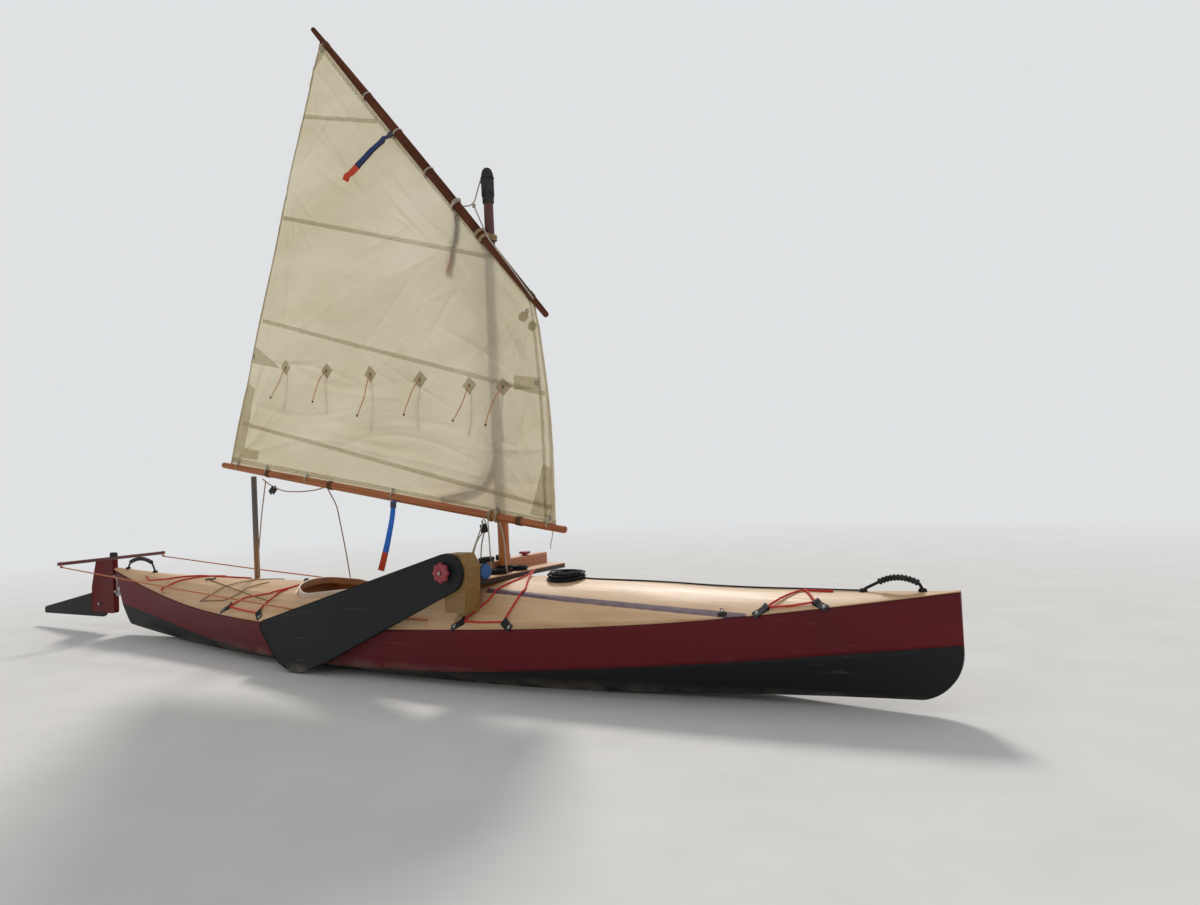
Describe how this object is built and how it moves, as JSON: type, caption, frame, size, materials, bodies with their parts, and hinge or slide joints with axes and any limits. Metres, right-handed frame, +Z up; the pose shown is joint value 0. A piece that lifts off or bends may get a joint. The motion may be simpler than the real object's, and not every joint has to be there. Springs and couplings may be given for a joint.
{
  "type": "decked wooden sailing kayak with a balanced lug sail, leeboard and lifting rudder",
  "caption": "Decked plywood kayak that floats and sails: open cockpit, lug sail on an unstayed mast, swinging leeboard and a lifting rudder steered by a yoke.",
  "frame": {"origin": "on the centreline, on the underside of the flat bottom, near the hull's middle", "axes": "+X to the bow, +Y to port, +Z up"},
  "size_m": [5.7619, 0.7688, 3.1027],
  "materials": {
    "bottom_paint": "black two-part paint, satin",
    "side_paint": "dark red two-part paint, satin",
    "deck_ply": "clear-varnished okoume plywood",
    "coaming_wood": "varnished laminated strip",
    "mast_wood": "oiled round pole",
    "masthead_black": "black rubber sleeve",
    "beam_wood": "varnished softwood",
    "cheek_wood": "varnished glued block",
    "red_plastic": "moulded nylon",
    "steel": "stainless",
    "board_paint": "black paint on plywood",
    "rudder_paint": "red paint on plywood",
    "yoke_wood": "dark red stained hardwood",
    "black_plastic": "black rubber grip",
    "spar_wood": "varnished round spar",
    "rope_tan": "braided line",
    "painter_rope": "braided line",
    "sailcloth": "woven polyester cloth"
  },
  "bodies": {
    "hull": {"bottom_shell": "bottom_paint", "side_plank_port": "side_paint", "side_plank_starboard": "side_paint", "stem_block": "side_paint", "stern_block": "side_paint", "foredeck_middle": "deck_ply", "foredeck_side_port": "deck_ply", "foredeck_side_starboard": "deck_ply", "aft_deck": "deck_ply", "coaming": "coaming_wood", "aft_bulkhead": "deck_ply", "fore_bulkhead": "deck_ply", "seat": "deck_ply", "mast_step": "deck_ply", "mast": "mast_wood", "masthead": "masthead_black", "beam_plank": "beam_wood", "beam_bar": "beam_wood", "cheek_block": "cheek_wood", "beam_knob": "red_plastic", "gudgeons": "steel", "boom_post": "mast_wood", "handles": "black_plastic", "painter_line": "painter_rope", "painter_coil": "painter_rope"},
    "leeboard": {"leeboard": "board_paint", "leeboard_bolt": "steel", "leeboard_knob": "red_plastic"},
    "rudder": {"rudder_cheek_port": "rudder_paint", "rudder_cheek_starboard": "rudder_paint", "rudder_core": "rudder_paint", "blade_bolt": "steel", "yoke": "yoke_wood", "rudder_head": "black_plastic", "pintle": "steel"},
    "blade": {"rudder_blade": "board_paint"},
    "rig": {"yard": "spar_wood", "boom": "spar_wood", "sail": "sailcloth", "parrels": "rope_tan"}
  },
  "joints": [
    {"name": "rudder_turn", "type": "hinge", "parent": "hull", "child": "rudder", "pos_m": [-2.416, 0, 0.28], "axis": [0, 0, 1], "range_deg": [-39, 41]},
    {"name": "blade_lift", "type": "hinge", "parent": "rudder", "child": "blade", "pos_m": [-2.59197, 0.00307, 0.165], "axis": [0.0175, 0.9998, 0], "range_deg": [-80, 0]},
    {"name": "leeboard_swing", "type": "hinge", "parent": "hull", "child": "leeboard", "pos_m": [0.6, -0.373, 0.47], "axis": [0, 1, 0], "range_deg": [-72, 12]},
    {"name": "sail_swing", "type": "hinge", "parent": "hull", "child": "rig", "pos_m": [0.6, 0, 1.2], "axis": [0, 0, 1], "range_deg": [-85, 85]}
  ]
}
